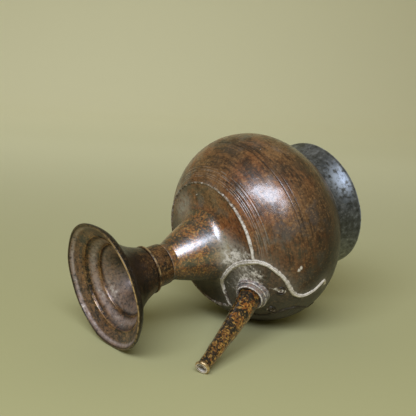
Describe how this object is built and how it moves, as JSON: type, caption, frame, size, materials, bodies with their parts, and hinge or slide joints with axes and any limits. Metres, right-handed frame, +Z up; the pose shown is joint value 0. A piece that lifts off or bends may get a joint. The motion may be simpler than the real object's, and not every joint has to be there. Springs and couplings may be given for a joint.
{
  "type": "water pot",
  "caption": "Globular bronze water pot on a ring foot, with a tapered neck, a flared trumpet mouth, a slender leaning spout and a raised leaf-shaped line round it, lying on its side.",
  "frame": {"origin": "centre of the lying pot's box on the table plane", "axes": "+Z up from the table, +X along the pot's axis in plan from the mouth towards the foot, spout on the -Y side"},
  "size_m": [0.2096, 0.1398, 0.1386],
  "materials": {
    "body_bronze": "worn brown patina",
    "neck_bronze": "rubbed golden-brown patina",
    "mouth_bronze": "dark brown patina",
    "foot_metal": "mottled grey",
    "solder": "bright",
    "spout_bronze": "mottled dark patina",
    "lip_bronze": "worn bright",
    "ornament": "chalky grey deposit"
  },
  "bodies": {
    "root": {"lower_bowl": "body_bronze", "upper_bowl": "body_bronze", "neck_cone": "neck_bronze", "neck_ferrule": "mouth_bronze", "mouth_trumpet": "mouth_bronze", "foot_ring": "foot_metal", "foot_solder": "solder", "spout_tube": "spout_bronze", "spout_collar": "spout_bronze", "spout_lip": "lip_bronze", "shoulder_cord": "ornament", "spout_scroll": "ornament", "curl_left": "ornament", "curl_right": "ornament"}
  },
  "joints": []
}
